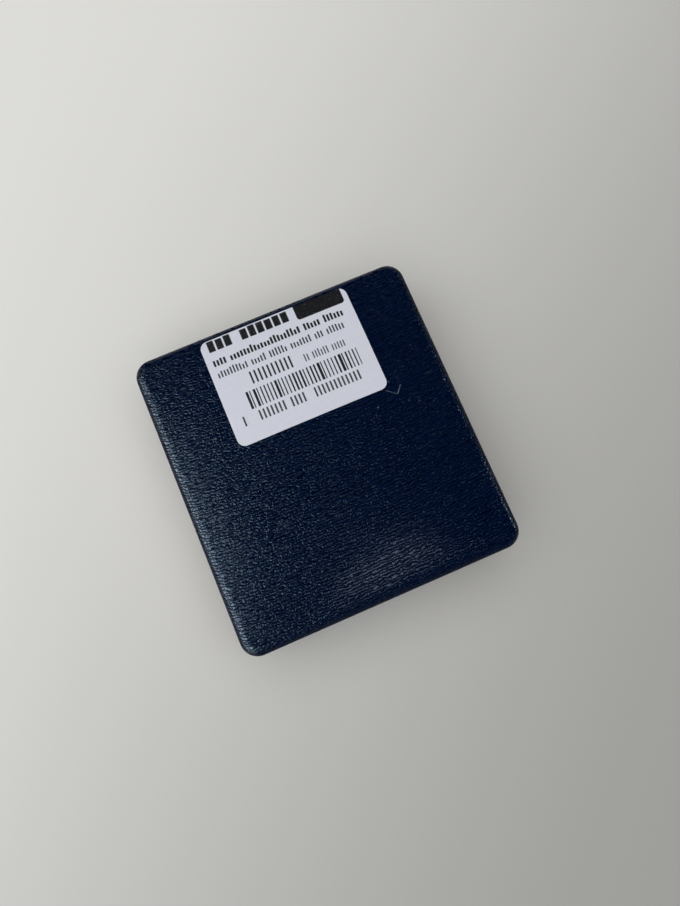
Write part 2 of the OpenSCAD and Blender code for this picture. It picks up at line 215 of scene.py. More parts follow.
class Wire:
    """A node's output. Sums and products of wires and numbers add Math nodes."""

    def __init__(self, tree, socket):
        self.tree, self.socket = tree, socket

    def maths(self, operation, *values, clamp=False):
        settings = {"operation": operation, "use_clamp": clamp}
        return add_node(self.tree, "ShaderNodeMath", settings, dict(enumerate(values)))

    __add__ = adds_maths("ADD")
    __sub__ = adds_maths("SUBTRACT")
    __mul__ = adds_maths("MULTIPLY")
    __truediv__ = adds_maths("DIVIDE")
    __abs__ = adds_maths("ABSOLUTE")
    __lt__ = adds_maths("LESS_THAN")
    __gt__ = adds_maths("GREATER_THAN")
    floor = adds_maths("FLOOR")
    sine = adds_maths("SINE")
    root = adds_maths("SQRT")
    larger = adds_maths("MAXIMUM")

    def __radd__(self, number):
        return self.maths("ADD", number, self)

    def __rsub__(self, number):
        return self.maths("SUBTRACT", number, self)

    def clamped(self):
        return self.maths("ADD", self, 0.0, clamp=True)

    def ramp(self, low, high):
        """0 at low and below, 1 at high and above, smooth between."""
        values = {"Value": self, "From Min": low, "From Max": high}
        return add_node(self.tree, "ShaderNodeMapRange", {"interpolation_type": "SMOOTHSTEP"}, values)


def add_node(tree, kind, settings=None, values=None, output=0):
    """Adds a node, makes its settings, then gives its sockets values or wires."""
    made = tree.nodes.new(kind)
    for key, value in (settings or {}).items():
        setattr(made, key, value)
    for key, value in (values or {}).items():
        socket = made.inputs[key]
        if isinstance(value, Wire):
            tree.links.new(value.socket, socket)
        elif socket.type == "RGBA" and len(value) == 3:
            socket.default_value = (*value, 1.0)
        else:
            socket.default_value = value
    return Wire(tree, made.outputs[output])


class Finish:
    """A material being made: its coordinates in millimetres and its Principled shader."""

    def __init__(self, name, look):
        self.material = bpy.data.materials.new(name)
        self.material.use_nodes = True
        self.material.diffuse_color = (*look, 1.0)
        self.tree = self.material.node_tree
        self.tree.nodes.clear()
        place = self.node("ShaderNodeTexCoord", output="Object")
        self.mm = self.node("ShaderNodeVectorMath", {"operation": "SCALE"}, {0: place, "Scale": 1 / MM})

    def node(self, kind, settings=None, values=None, output=0):
        return add_node(self.tree, kind, settings, values, output)

    def axes(self, wire=None):
        """The three numbers of a vector, by default of the place in millimetres."""
        return [self.node("ShaderNodeSeparateXYZ", None, {0: wire or self.mm}, axis) for axis in "XYZ"]

    def stretched(self, scale):
        """The place in millimetres, scaled along each axis."""
        values = {"Vector": self.mm, "Scale": scale}
        return self.node("ShaderNodeMapping", {"vector_type": "POINT"}, values)

    def noise(self, wire, scale, detail=2.0, roughness=0.5, output="Fac"):
        values = {"Vector": wire, "Scale": scale, "Detail": detail, "Roughness": roughness}
        return self.node("ShaderNodeTexNoise", {"noise_dimensions": "3D"}, values, output)

    def warped(self, wire, scale, amount):
        """The place pushed about by a slow noise."""
        push = self.noise(wire, scale, 1.0, 0.5, "Color")
        values = {0: push, 1: (amount, amount, amount), 2: (-amount / 2, -amount / 2, -amount / 2)}
        push = self.node("ShaderNodeVectorMath", {"operation": "MULTIPLY_ADD"}, values)
        return self.node("ShaderNodeVectorMath", {"operation": "ADD"}, {0: wire, 1: push})

    def mix(self, share_wire, first, second):
        """A colour between two."""
        settings = {"data_type": "RGBA", "clamp_factor": True}
        values = {"Factor": share_wire, 6: first, 7: second}
        return self.node("ShaderNodeMix", settings, values, 2)

    def bump(self, height, depth):
        return self.node("ShaderNodeBump", None, {"Height": height, "Distance": depth, "Strength": 1.0})

    def shader(self, **values):
        """A Principled shader. Words in names are joined by _."""
        names = {key.replace("_", " "): value for key, value in values.items()}
        return self.node("ShaderNodeBsdfPrincipled", None, names)

    def done(self, shader):
        """Puts a shader on the material."""
        out = self.tree.nodes.new("ShaderNodeOutputMaterial")
        self.tree.links.new(shader.socket, out.inputs["Surface"])
        return self.material


# ---------------------------------------------------------------- finishes


def leatherette(look):
    """Navy leatherette: short wavy ridges that run across the case, with a little wear, and painted
    shade that darkens the creases between the ridges.
    """
    f = Finish("navy_leatherette", look.leather)
    slow = f.noise(f.mm, 0.09, 2.0)
    x, y, z = f.axes()
    bent = f.noise(f.stretched((0.70, 1.00, 1.00)), 1.0, 1.0, 0.5)
    phase = (y + z) * 1.42 + bent * 2.0
    ridges = abs((phase * math.pi).sine())
    breaks = f.noise(f.stretched((2.1, 2.4, 2.4)), 1.0, 1.0, 0.5).ramp(0.36, 0.50)
    ridges = ridges.ramp(0.20, 0.90) * (breaks * 0.7 + 0.3)
    fine = f.noise(f.stretched((2.6, 4.2, 3.4)), 1.0, 2.0, 0.6)
    height = ridges + fine * 0.10
    rub = f.noise(f.mm, 1.4, 3.0, 0.7)
    edge = (abs(x) / (HALF_W / MM)).larger(abs(y) / (HALF_D / MM))
    wear = edge.ramp(0.955, 1.0) * rub.ramp(0.56, 0.76) * 0.12
    # painted shade: the creases between the ridges get the darker colour, as shade in the creases
    tint = f.mix((ridges * 0.8 + slow * 0.2).clamped(), look.leather, look.ridge)
    tint = f.mix(wear, tint, look.worn)
    face_z = PARTING / MM + 8.0  # the marks lie on the lid's face, above this height
    marks = lid_marks(f, x, y) * (z > face_z)
    tint = f.mix(marks, tint, look.mark)
    normal = f.bump(height, 0.060 * MM)
    shiny = f.shader(
        Base_Color=tint,
        Roughness=0.12 + slow * 0.05,
        Specular_IOR_Level=0.36,
        Specular_Tint=(0.70, 0.88, 1.0, 1.0),
        Normal=normal,
    )
    dull = f.shader(Base_Color=tint, Roughness=0.5, Specular_IOR_Level=0.0, Normal=normal)
    gloss = (ridges * 0.9 + 0.1) * (1 - edge.ramp(0.94, 1.0) * 0.55)
    return f.done(f.node("ShaderNodeMixShader", None, {0: gloss, 1: dull, 2: shiny}))


# Marks on the lid, in millimetres: two short strokes that meet in a V beside the sticker
# (both ends, half the width, strength) and single specks (place, radius, strength)
STROKES = ((17.4, 7.15, 19.6, 5.35, 0.07, 0.55), (19.6, 5.35, 21.1, 7.15, 0.09, 0.9))
SPECKS = ((14.4, 4.2, 0.16, 0.8), (21.4, 3.1, 0.12, 0.7), (23.5, 2.2, 0.12, 0.6), (18.9, 8.6, 0.12, 0.6))


def lid_marks(f, x, y):
    """Where the lid is scratched or has a speck of dust on it."""
    mask = None
    for x0, y0, x1, y1, half, strength in STROKES:
        span = math.hypot(x1 - x0, y1 - y0)
        along_x, along_y = (x1 - x0) / span, (y1 - y0) / span
        along = (x - x0) * along_x + (y - y0) * along_y
        side = (x - x0) * along_y - (y - y0) * along_x
        stroke = (1 - abs(side).ramp(half * 0.5, half * 1.5)) * strength
        stroke = stroke * (1 - abs(along - span / 2).ramp(span / 2 - 0.2, span / 2))
        mask = stroke if mask is None else mask.larger(stroke)
    mask = mask * (f.noise(f.mm, 2.5, 2.0).ramp(0.30, 0.50) * 0.7 + 0.3)
    for x0, y0, radius, strength in SPECKS:
        away = ((x - x0) * (x - x0) + (y - y0) * (y - y0)).root()
        mask = mask.larger((1 - away.ramp(radius * 0.6, radius * 1.3)) * strength)
    return mask


def gilt_metal(name, tint, roughness, scale):
    """Brass with fine rubbing marks and a slightly uneven shine."""
    f = Finish(name, tint)
    marks = f.noise(f.stretched((1.0, 1.0, 9.0)), 1.1 * scale, 3.0, 0.6)
    cloud = f.noise(f.mm, 0.2, 3.0)
    darker = tuple(c * 0.88 for c in tint)
    shader = f.shader(
        Base_Color=f.mix(cloud.ramp(0.3, 0.8), tint, darker),
        Metallic=1.0,
        Roughness=roughness + marks * 0.10,
        Normal=f.bump(marks, 0.004 * MM),
    )
    return f.done(shader)


def velvet(look):
    """Short-pile velvet with brushed patches."""
    f = Finish("blue_velvet", look.velvet)
    brushed = f.noise(f.warped(f.stretched((0.5, 1.0, 1.0)), 0.3, 2.0), 0.16, 2.0, 0.5)
    pile = f.noise(f.mm, 7.0, 2.0, 0.8)
    nap = (brushed.ramp(0.3, 0.7) * 0.25 + pile.ramp(0.25, 0.75) * 0.75).clamped()
    bright = tuple(min(1.0, c * 2.6) for c in look.velvet)
    dark = tuple(c * 0.3 for c in look.velvet)
    shader = f.shader(
        Base_Color=f.mix(nap, dark, bright),
        Roughness=0.86 + pile * 0.12,
        Specular_IOR_Level=0.15,
        Sheen_Weight=0.6,
        Sheen_Roughness=0.35,
        Sheen_Tint=(0.35, 0.45, 0.95, 1.0),
        Normal=f.bump(pile, 0.10 * MM),
    )
    return f.done(shader)


def satin(look):
    """Ivory satin: a fine twill of threads and soft shading in its folds."""
    f = Finish("ivory_satin", look.satin)
    x, y, _ = f.axes(f.warped(f.mm, 0.2, 0.5))
    threads = ((x + y * 0.25) * 26.0).sine() * 0.5 + 0.5
    slub = f.noise(f.stretched((0.7, 6.0, 1.0)), 1.0, 2.0)
    shade = tuple(c * 0.94 for c in look.satin)
    shader = f.shader(
        Base_Color=f.mix(slub.ramp(0.3, 0.8), look.satin, shade),
        Roughness=0.30 + slub * 0.10,
        Specular_IOR_Level=0.7,
        Sheen_Weight=0.25,
        Sheen_Roughness=0.3,
        Normal=f.bump(threads * 0.6 + slub * 0.4, 0.008 * MM),
    )
    return f.done(shader)


def card(look):
    """Grey card with fibres."""
    f = Finish("grey_card", look.card)
    fibres = f.noise(f.stretched((0.8, 4.0, 1.0)), 2.4, 4.0, 0.65)
    specks = f.noise(f.mm, 7.0, 2.0)
    dark = tuple(c * 0.7 for c in look.card)
    shader = f.shader(
        Base_Color=f.mix((fibres * 0.7 + specks * 0.4).clamped(), dark, look.card),
        Roughness=0.82 + specks * 0.12,
        Specular_IOR_Level=0.25,
        Normal=f.bump(fibres, 0.02 * MM),
    )
    return f.done(shader)


def moulded_plastic(look):
    """Black moulded shell with a spark-eroded texture."""
    f = Finish("moulded_shell", look.shell)
    grit = f.noise(f.mm, 6.0, 3.0, 0.6)
    lighter = tuple(c * 1.7 for c in look.shell)
    shader = f.shader(
        Base_Color=f.mix(grit, look.shell, lighter),
        Roughness=0.5 + grit * 0.18,
        Normal=f.bump(grit, 0.02 * MM),
    )
    return f.done(shader)


def steel(name, tint, roughness):
    """Drawn steel with fine lengthwise marks."""
    f = Finish(name, tint)
    marks = f.noise(f.stretched((0.4, 14.0, 14.0)), 1.2, 3.0, 0.6)
    dark = tuple(c * 0.8 for c in tint)
    shader = f.shader(
        Base_Color=f.mix(marks, tint, dark),
        Metallic=1.0,
        Roughness=roughness + marks * 0.15,
        Normal=f.bump(marks, 0.004 * MM),
    )
    return f.done(shader)


# Rows of the sticker's print, in millimetres from its middle: left, right, bottom, top, the
# pitch of the blocks, the share of the pitch that a block fills, how many places hold a
# block, the lowest height of a block as a share of the row, how dark, and a seed
PRINT_ROWS = (
    (-16.1, 3.4, 9.87, 12.62, 1.95, 0.80, 0.90, 0.85, 1.00, 3.0),
    (-16.2, 15.0, 6.37, 8.22, 0.80, 0.62, 0.85, 0.60, 1.00, 11.0),
    (-16.2, 13.9, 3.52, 5.37, 0.72, 0.50, 0.80, 0.60, 0.95, 27.0),
    (-9.9, 0.35, -0.53, 2.37, 1.02, 0.40, 1.10, 1.00, 1.00, 5.0),
    (2.75, 12.65, -0.43, 1.47, 0.66, 0.42, 0.80, 0.75, 0.95, 41.0),
    (-11.15, 0.0, -8.78, -6.53, 0.93, 0.44, 0.95, 1.00, 0.95, 8.0),
    (1.85, 13.0, -8.78, -6.53, 0.93, 0.44, 0.95, 1.00, 0.95, 19.0),
    (-14.9, -13.7, -8.78, -6.53, 0.93, 0.44, 1.10, 1.00, 0.95, 5.0),
)
# Bars: left, right, bottom, top, pitch and a seed; block: left, right, bottom, top and
# corner radius
BAR_ROW = (-12.0, 14.25, -5.78, -1.68, 0.84, 17.0)
BLOCK = (5.0, 16.4, 9.2, 13.3, 0.75)


def sticker(look):
    """Coated paper with a generic print: rows of plain blocks, a solid block and bars."""
    f = Finish("sticker_paper", look.paper)
    middle = ((LABEL_LOW + LABEL_HIGH) / 2) / MM
    x, y, _ = f.axes()
    x, y = x - middle.x, y - middle.y

    def white(wire):
        return f.node("ShaderNodeTexWhiteNoise", {"noise_dimensions": "1D"}, {"W": wire}, "Value")

    def within(wire, low, high, soft=0.05):
        return 1 - abs(wire - (low + high) / 2).ramp((high - low) / 2 - soft, (high - low) / 2 + soft)

    ink = None
    for left, right, bottom, top, pitch, fill, many, least, dark, seed in PRINT_ROWS:
        cell = ((x - left) / pitch).floor()
        inside = ((x - left) / pitch) - cell
        present = white(cell + seed) < many
        tall = white(cell + seed * 2.3) * (1 - least) + least
        block = within(inside, 0.5 - fill / 2, 0.5 + fill / 2, 0.06)
        height = 1 - ((y - bottom) / (top - bottom) - tall).ramp(-0.04, 0.04)
        row = block * present * height * within(x, left, right) * (y - bottom).ramp(-0.06, 0.06) * dark
        ink = row if ink is None else ink.larger(row)
    left, right, bottom, top, pitch, seed = BAR_ROW
    cell = ((x - left) / pitch).floor()
    thick = white(cell + seed)
    bars = ((x - left) / pitch - cell) < (thick * thick * 0.55 + 0.30)
    bars = bars * within(x, left, right, 0.02) * within(y, bottom, top)
    left, right, bottom, top, round_r = BLOCK
    over_x = (abs(x - (left + right) / 2) - ((right - left) / 2 - round_r)).larger(0.0)
    over_y = (abs(y - (bottom + top) / 2) - ((top - bottom) / 2 - round_r)).larger(0.0)
    solid = 1 - (over_x * over_x + over_y * over_y).root().ramp(round_r - 0.06, round_r + 0.06)
    ink = ink.larger(bars).larger(solid)
    fibre = f.noise(f.mm, 3.0, 4.0, 0.65)
    worn = f.noise(f.mm, 4.5, 3.0, 0.6).ramp(0.15, 0.38)
    shade = tuple(c * 0.93 for c in look.paper)
    paper = f.mix(fibre.ramp(0.3, 0.7), look.paper, shade)
    shader = f.shader(
        Base_Color=f.mix(ink * worn, paper, look.ink),
        Roughness=0.46 + fibre * 0.12 - ink * 0.08,
        Specular_IOR_Level=0.25,
        Normal=f.bump(fibre - ink * 0.15, 0.008 * MM),
    )
    return f.done(shader)


FINISHES = {}


def finishes():
    """The case's materials by the record's slot names, made once."""
    if not FINISHES:
        look = bpy.context.scene.coin_case.finish
        FINISHES.update(
            leatherette=leatherette(look),
            gilt_rim=gilt_metal("gilt_rim", tuple(look.gilt), 0.16, 1.0),
            hinge_brass=gilt_metal("hinge_brass", tuple(look.brass), 0.28, 2.0),
            velvet=velvet(look),
            satin=satin(look),
            card=card(look),
            shell_plastic=moulded_plastic(look),
            steel=steel("drawn_steel", tuple(look.steel), 0.28),
            spring_steel=steel("spring_steel", tuple(look.steel), 0.18),
            label_paper=sticker(look),
        )
    return FINISHES


# ---------------------------------------------------------------- mesh helpers


def finish_piece(name, bm, slot, body=None, replaces=(), sharp=35):
    """Turns a bmesh into a piece with its material, body and the nodes it stands for."""
    mesh = bpy.data.meshes.new(name)
    bm.to_mesh(mesh)
    bm.free()
    mesh.shade_smooth()
    mesh.set_sharp_from_angle(angle=math.radians(sharp))
    mesh.materials.append(finishes()[slot])
    piece = bpy.data.objects.new(name, mesh)
    bpy.context.scene.collection.objects.link(piece)
    if body:
        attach(piece, body)
    if replaces:
        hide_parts(*replaces)
    return piece


def flat_face(bm, middle, half_x, half_y, pieces=1):
    """A rectangle that lies flat, cut into pieces along x, and returns its vertices."""
    verts = bmesh.ops.create_grid(bm, x_segments=pieces, y_segments=1, size=1.0)["verts"]
    bmesh.ops.scale(bm, vec=(half_x, half_y, 1), verts=verts)
    bmesh.ops.translate(bm, vec=middle, verts=verts)
    return verts


def rounded(bm, geom, radius, steps, what="EDGES"):
    """Rounds edges, or the corners of a flat face."""
    bmesh.ops.bevel(
        bm, geom=geom, affect=what, offset=radius, segments=steps, profile=0.5, material=-1
    )


def outline_face(bm, inset, z, steps=8):
    """A flat face with the case's rounded outline, moved in by inset."""
    corner_r = bpy.context.scene.coin_case.covers.corner_r
    verts = flat_face(bm, (0, 0, z), HALF_W - inset, HALF_D - inset)
    rounded(bm, verts, corner_r - inset, steps, "VERTICES")


def cut(bm, xs=(), ys=()):
    """Cuts all faces along upright planes."""
    for places, normal in ((xs, (1, 0, 0)), (ys, (0, 1, 0))):
        for place in places:
            geom = bm.verts[:] + bm.edges[:] + bm.faces[:]
            spot = [place * n for n in normal]
            bmesh.ops.bisect_plane(bm, geom=geom, dist=1e-7, plane_co=spot, plane_no=normal)


def delete_back(bm, half_x, from_y):
    """Deletes the faces at the middle of the back, where the hinge has its room."""
    gone = []
    for face in bm.faces:
        x, y, _ = face.calc_center_median()
        if abs(x) < half_x and y > from_y:
            gone.append(face)
    bmesh.ops.delete(bm, geom=gone, context="FACES")


def evenly(low, high, pitch):
    """Places between low and high, about pitch apart, without the ends."""
    count = max(1, round((high - low) / pitch))
    return [low + (high - low) * i / count for i in range(1, count)]


def stand_in(co, inset):
    """The place on the outline moved in by inset that lies nearest to co."""
    corner_r = bpy.context.scene.coin_case.covers.corner_r
    far_x, far_y = HALF_W - corner_r, HALF_D - corner_r
    foot = Vector((max(-far_x, min(far_x, co.x)), max(-far_y, min(far_y, co.y))))
    out = Vector((co.x, co.y)) - foot
    return foot + out.normalized() * (corner_r - inset)


def border(bm):
    """The open edges of a mesh."""
    return [e for e in bm.edges if e.is_boundary]


def only_verts(geom):
    """The vertices among the parts that an operator made."""
    return [g for g in geom if isinstance(g, bmesh.types.BMVert)]


def once(items):
    """Each item once, in the order in which it comes."""
    return list(dict.fromkeys(items))


def grow(bm, edges, places, height):
    """Extrudes a loop of edges through (inset, h) places, and returns the last loop."""
    for inset, h in places:
        made = bmesh.ops.extrude_edge_only(bm, edges=edges)["geom"]
        verts = set(only_verts(made))
        edges = [g for g in made if isinstance(g, bmesh.types.BMEdge) and set(g.verts) <= verts]
        for v in verts:
            spot = stand_in(v.co, inset)
            v.co = (spot.x, spot.y, height(spot, h))
    return edges


def bump_of(x, y, power):
    """The crown's shape, 1 at the middle and 0 along the outline."""
    return max(0.0, 1 - abs(x / HALF_W) ** power) * max(0.0, 1 - abs(y / HALF_D) ** power)


def lid_edge_h():
    """Height of the lid's rounded edge over the parting plane, without the crown."""
    return LID_HIGH.z - PARTING - bpy.context.scene.coin_case.covers.crown


def lid_surface(x, y):
    """Height of the lid's face over a place, its rounded back edge included."""
    size = bpy.context.scene.coin_case.covers
    from_edge = min(HALF_W - abs(x), HALF_D - abs(y))
    drop = 0.0
    if from_edge < size.lid_edge_r:
        drop = size.lid_edge_r - math.sqrt(size.lid_edge_r**2 - (size.lid_edge_r - from_edge) ** 2)
    return PARTING + lid_edge_h() - drop + size.crown * bump_of(x, y, size.crown_power)


def drop_at(spot):
    """How far an opening's edge falls away along the groove at the back."""
    size = bpy.context.scene.coin_case.covers
    return size.groove_slope * max(0.0, spot.y - size.groove_y)


def arc(radius, steps, from_deg, to_deg):
    """Pairs (cosine, sine) times radius along an arc, both ends included."""
    angles = [math.radians(from_deg + (to_deg - from_deg) * i / steps) for i in range(steps + 1)]
    return [(radius * math.cos(a), radius * math.sin(a)) for a in angles]


# ---------------------------------------------------------------- covers and rims


def half_cover(name, side, edge_h, edge_r, crown, body, node):
    """Leatherette of a half: crowned face, rounded edge, wall, lip and turned-in edge."""
    size = bpy.context.scene.coin_case.covers
    bm = bmesh.new()
    outline_face(bm, edge_r, 0.0)
    pitch = 2.4 * MM
    for_x, for_y = (
        (-reach, *evenly(-reach, reach, pitch), reach, -reach - pitch / 2, reach + pitch / 2)
        for reach in (HALF_W - size.corner_r, HALF_D - size.corner_r)
    )
    cut(bm, for_x, for_y)

    def crowned(spot, h):
        return PARTING + side * (h + crown * bump_of(spot.x, spot.y, size.crown_power))

    def falling(spot, h):
        return PARTING + side * (h + drop_at(spot))

    for v in bm.verts:
        v.co.z = crowned(v.co, edge_h)
    shoulder = [(edge_r - c, edge_h - edge_r + s) for c, s in arc(edge_r, 10, 90, 0)][1:]
    edges = grow(bm, border(bm), shoulder, crowned)
    fold_r = 0.3 * MM
    fold = [(fold_r - c, size.lip_h + fold_r - s) for c, s in arc(fold_r, 3, 0, 90)]
    kink = HALF_D - size.groove_y
    edges = grow(bm, edges, [*fold, (kink, size.lip_h), (size.fold_in, size.lip_h)], falling)
    grow(bm, edges, [(size.fold_in, size.lip_h + size.turn_in)], lambda spot, h: PARTING + side * h)
    open_window(bm, size)
    bmesh.ops.remove_doubles(bm, verts=bm.verts, dist=1e-7)
    bmesh.ops.recalc_face_normals(bm, faces=bm.faces)
    bmesh.ops.solidify(bm, geom=bm.faces[:], thickness=size.leather_t)
    return finish_piece(name, bm, "leatherette", body, [node])


def open_window(bm, size):
    """Takes the turned-in edge away where the hinge's leaf lies."""
    half = size.window_w / 2
    left_h = 1.1 * MM  # how far from the parting plane the lip is left along the groove
    edge_y = size.groove_y + (left_h - size.lip_h) / size.groove_slope
    for x in (-half, half):
        split(bm, (x, 0, 0), (1, 0, 0), lambda f: f.calc_center_median().y > 0)
    split(bm, (0, edge_y, 0), (0, 1, 0), lambda f: abs(f.calc_center_median().x) < half)
    front_y, reach_z = HALF_D - 3 * MM, 4 * MM
    gone = []
    for face in bm.faces:
        x, y, z = face.calc_center_median()
        if abs(x) < half and front_y < y < edge_y and abs(z - PARTING) < reach_z:
            gone.append(face)
    bmesh.ops.delete(bm, geom=gone, context="FACES")


def split(bm, spot, normal, chosen):
    """Cuts the chosen faces along a plane."""
    faces = [f for f in bm.faces if chosen(f)]
    edges = once(e for f in faces for e in f.edges)
    verts = once(v for f in faces for v in f.verts)
    bmesh.ops.bisect_plane(bm, geom=verts + edges + faces, dist=1e-7, plane_co=spot, plane_no=normal)


def half_rim(name, side, body, node):
    """Gilt strip of a half: a rounded bead outside, a flat face and a skirt inside."""
    size = bpy.context.scene.coin_case.covers
    face_h = size.rim_gap / 2
    bead = size.rim_t / 2
    inner = size.fold_in + size.skirt_t
    kink = HALF_D - size.groove_y
    half = size.window_w / 2
    ease = 0.08 * MM
    skirt_foot = size.lip_h + 0.2 * MM

    def falling(spot, h):
        return PARTING + side * (h + (drop_at(spot) if h < skirt_foot else 0.0))

    bm = bmesh.new()
    outline_face(bm, size.rim_inset, 0.0, 10)
    bmesh.ops.delete(bm, geom=bm.faces[:], context="FACES_ONLY")
    cut(bm, [-half, half])
    first = bm.edges[:]
    for v in bm.verts:
        spot = stand_in(v.co, size.rim_inset + bead)
        v.co = (spot.x, spot.y, falling(spot, size.lip_h))
    section = [(size.rim_inset + bead - s, face_h + bead + c) for c, s in arc(bead, 8, 0, 180)][1:]
    section += [(kink, face_h), (inner - ease, face_h), (inner, face_h + ease)]
    section += [(inner, size.lip_h + size.skirt_h), (size.fold_in, size.lip_h + size.skirt_h)]
    section += [(size.fold_in, size.lip_h), (kink, size.lip_h)]
    last = grow(bm, first, section, falling)
    bmesh.ops.bridge_loops(bm, edges=last + first)
    delete_back(bm, half, HALF_D / 2)
    bmesh.ops.remove_doubles(bm, verts=bm.verts, dist=1e-7)
    bmesh.ops.holes_fill(bm, edges=border(bm), sides=0)
    bmesh.ops.recalc_face_normals(bm, faces=bm.faces)
    return finish_piece(name, bm, "gilt_rim", body, [node], 40)


# ---------------------------------------------------------------- lining


def softened_copy(name, node, slot, body, radius, chosen):
    """A copy of a CAD node whose chosen edges are rounded, as cloth lies over an edge."""
    bm = bmesh.new()
    bm.from_mesh(frame["nodes"][node].data)
    bmesh.ops.remove_doubles(bm, verts=bm.verts, dist=1e-6)
    bmesh.ops.dissolve_limit(bm, angle_limit=math.radians(2), verts=bm.verts, edges=bm.edges)
    sharp = [e for e in bm.edges if e.is_manifold and e.calc_face_angle() > math.radians(40)]
    rounded(bm, [e for e in sharp if chosen(e)], radius, 4)
    bmesh.ops.triangulate(bm, faces=[f for f in bm.faces if len(f.verts) > 4])
    return finish_piece(name, bm, slot, body, [node], 50)


def at_height(z):
    """A test for edges that lie at a height."""
    return lambda e: all(abs(v.co.z - z) < 1e-5 for v in e.verts)


def pad_distance(x, y, size):
    """Distance from the border of the pad's outline, the room for the hinge included."""
    inset = HALF_W - PAD_HIGH.x
    corner_r = bpy.context.scene.coin_case.covers.corner_r - inset
    far_x, far_y = HALF_W - inset, HALF_D - inset
    over_x, over_y = abs(x) - (far_x - corner_r), abs(y) - (far_y - corner_r)
    outside = math.hypot(max(over_x, 0), max(over_y, 0)) + min(max(over_x, over_y), 0) - corner_r
    room = math.hypot(max(abs(x) - size.room_w / 2, 0.0), max(size.room_y - y, 0.0))
    if abs(x) < size.room_w / 2 and y > size.room_y:
        room = 0.0
    return max(0.0, min(-outside, room))


def satin_pad():
    """Padded satin: a pillow with small pleats round its border and soft dents."""
    size = bpy.context.scene.coin_case.lining
    inset = HALF_W - PAD_HIGH.x
    back_z = PAD_HIGH.z
    rise = PAD_HIGH.z - PAD_LOW.z
    bm = bmesh.new()
    outline_face(bm, inset, back_z, 6)
    cut(bm, (-size.room_w / 2, size.room_w / 2), (size.room_y,))
    delete_back(bm, size.room_w / 2, size.room_y)
    made = bmesh.ops.extrude_face_region(bm, geom=bm.faces[:])["geom"]
    bmesh.ops.translate(bm, vec=(0, 0, -rise), verts=only_verts(made))
    bmesh.ops.recalc_face_normals(bm, faces=bm.faces)
    pad = remeshed(bm, PAD_VOXEL)
    bm = bmesh.new()
    bm.from_mesh(pad)
    for v in bm.verts:
        depth = max(0.0, (back_z - v.co.z) / rise)
        v.co.z = back_z - depth * pad_depth(v.co.x, v.co.y, rise, size)
    puff(bm, back_z - CLOTH_HELD)
    bmesh.ops.smooth_vert(
        bm, verts=bm.verts, factor=0.4, use_axis_x=True, use_axis_y=True, use_axis_z=True
    )
    piece = finish_piece("satin_pad", bm, "satin", "lid", ["lid_pad_satin", "lid_pad_foam"], 180)
    return piece


# Size of the pad's even quads. Cloth simulation: scale at which it runs, frames, pressure,
# how much larger the cloth is than the pad, the furthest that a point may move, and the
# height of the border at the back that is held
PAD_VOXEL = 0.62 * MM
CLOTH_SCALE, CLOTH_FRAMES, CLOTH_PRESSURE, CLOTH_SPARE = 20.0, 20, 3.0, 0.06
CLOTH_REACH, CLOTH_HELD = 0.5 * MM, 0.3 * MM


def puff(bm, held_z):
    """Simulates the satin as cloth with a little to spare, pressed out and held at its back."""
    scene = bpy.context.scene
    mesh = bpy.data.meshes.new("cloth")
    bm.to_mesh(mesh)
    for vert in mesh.vertices:
        vert.co *= CLOTH_SCALE
    cloth = bpy.data.objects.new("cloth", mesh)
    scene.collection.objects.link(cloth)
    held = cloth.vertex_groups.new(name="held")
    held.add([v.index for v in mesh.vertices if v.co.z > held_z * CLOTH_SCALE], 1.0, "REPLACE")
    settings = cloth.modifiers.new("cloth", "CLOTH").settings
    settings.quality, settings.mass, settings.bending_stiffness = 5, 0.3, 0.05
    settings.vertex_group_mass, settings.shrink_min = "held", -CLOTH_SPARE
    settings.use_pressure, settings.uniform_pressure_force = True, CLOTH_PRESSURE
    settings.effector_weights.gravity = 0.0
    for number in range(1, CLOTH_FRAMES + 1):
        scene.frame_set(number)
    done = bpy.data.meshes.new_from_object(cloth.evaluated_get(bpy.context.evaluated_depsgraph_get()))
    for v, moved in zip(bm.verts, done.vertices):
        way = moved.co / CLOTH_SCALE - v.co
        v.co += way * min(1.0, CLOTH_REACH / max(way.length, 1e-9))
    bpy.data.objects.remove(cloth)
    scene.frame_set(1)


def pad_depth(x, y, rise, size):
    """Thickness of the pad at a place."""
    edge = pad_distance(x, y, size)
    near = min(1.0, edge / size.pad_edge)
    rim_share, power = 0.30, 2.2
    shape = rim_share + (1 - rim_share) * math.sqrt(max(0.0, 1 - (1 - near) ** power))
    low = rise - size.pad_crown
    flat_x, flat_y = (max(0.0, 1 - abs(away) ** power) for away in (x / HALF_W, y / HALF_D))
    crown = size.pad_crown * flat_x * flat_y
    along = math.atan2(y * HALF_W / HALF_D, x) * (HALF_W + HALF_D) / 2
    wander = noise.noise(Vector((x, y, 0)) * 110.0) * 2.6
    pleat = math.sin(along / size.pleat_pitch * 2 * math.pi + wander)
    pleat_middle = 2.2 * MM
    pleat_reach = (2.6 + 1.8 * noise.noise(Vector((along * 90.0, 0.0, 4.0)))) * MM
    fade = math.exp(-(((edge - pleat_middle) / pleat_reach) ** 2))
    wide_dent = noise.noise(Vector((x, y, 0.3)) * 75.0) * 0.34 * MM
    small_dent = noise.noise(Vector((x, y, 1.7)) * 210.0) * 0.08 * MM
    dent = wide_dent + small_dent
    return low * shape + crown * shape + pleat * fade * size.pleat_h * 0.5 + dent * near


